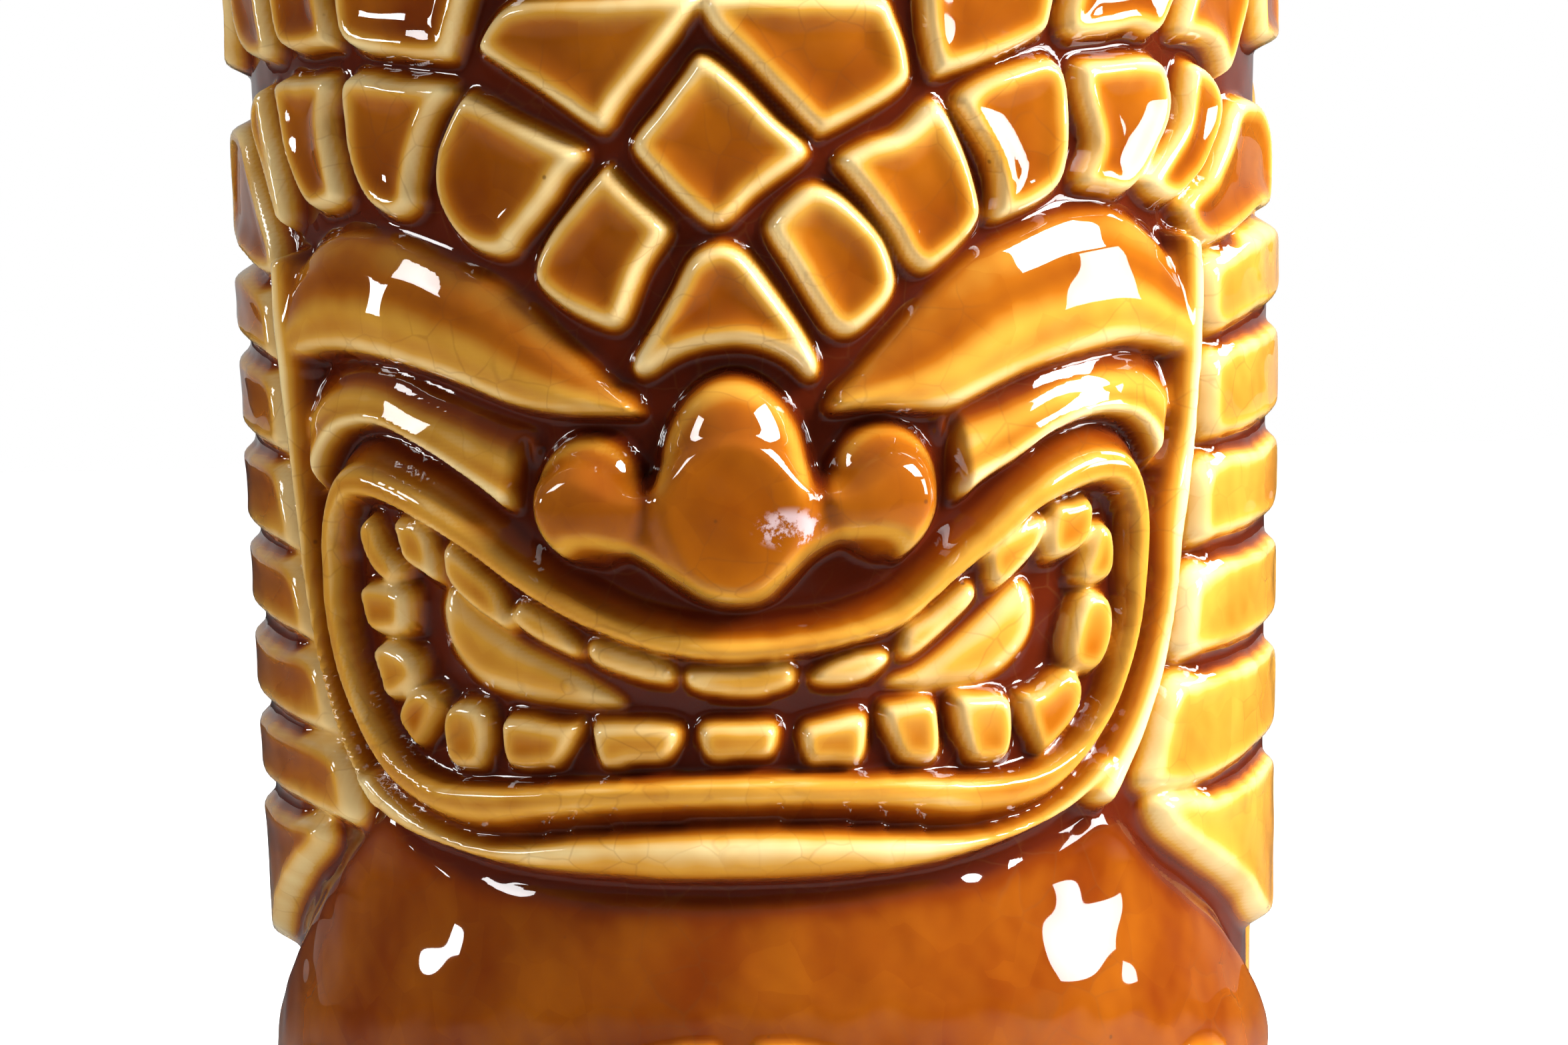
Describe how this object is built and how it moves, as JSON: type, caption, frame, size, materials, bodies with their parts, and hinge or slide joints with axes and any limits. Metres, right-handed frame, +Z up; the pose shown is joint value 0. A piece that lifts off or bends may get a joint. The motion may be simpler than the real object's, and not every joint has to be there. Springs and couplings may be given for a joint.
{
  "type": "carved figure drinking mug",
  "caption": "Tapered glazed ceramic tumbler with a carved tiki face, headdress, side braids and a squat body in relief round an open cup.",
  "frame": {"origin": "centre of the foot, on the surface the mug stands on", "axes": "+Z up along the cup's axis, the carved face looks along -Y, +X to the right as one looks at the face"},
  "size_m": [0.0814, 0.083, 0.15],
  "materials": {
    "outer_glaze": "glossy amber glaze, cream where it breaks over ridges and dark brown where it pools",
    "liner_glaze": "glossy even amber glaze",
    "bare_clay": "unglazed fired clay"
  },
  "bodies": {
    "root": {"cup_wall": "outer_glaze", "cup_floor": "outer_glaze", "foot_ring": "bare_clay", "rim_band": "outer_glaze", "inner_glaze": "liner_glaze", "crown_row": "outer_glaze", "headdress_row": "outer_glaze", "headdress_wings": "outer_glaze", "brow_diamond": "outer_glaze", "brow_row_left": "outer_glaze", "brow_row_right": "outer_glaze", "brow_triangle": "outer_glaze", "eye_left": "outer_glaze", "eye_right": "outer_glaze", "cheek_left": "outer_glaze", "cheek_right": "outer_glaze", "nose": "outer_glaze", "mouth_frame": "outer_glaze", "upper_teeth": "outer_glaze", "lower_teeth": "outer_glaze", "tongue_left": "outer_glaze", "tongue_right": "outer_glaze", "jaw_left": "outer_glaze", "jaw_right": "outer_glaze", "chin": "outer_glaze", "braid_left": "outer_glaze", "braid_right": "outer_glaze", "chest": "outer_glaze", "arm_left": "outer_glaze", "arm_right": "outer_glaze", "hand_left": "outer_glaze", "hand_right": "outer_glaze", "leg_left": "outer_glaze", "leg_right": "outer_glaze", "foot_left": "outer_glaze", "foot_right": "outer_glaze", "back_hair": "outer_glaze"}
  },
  "joints": []
}
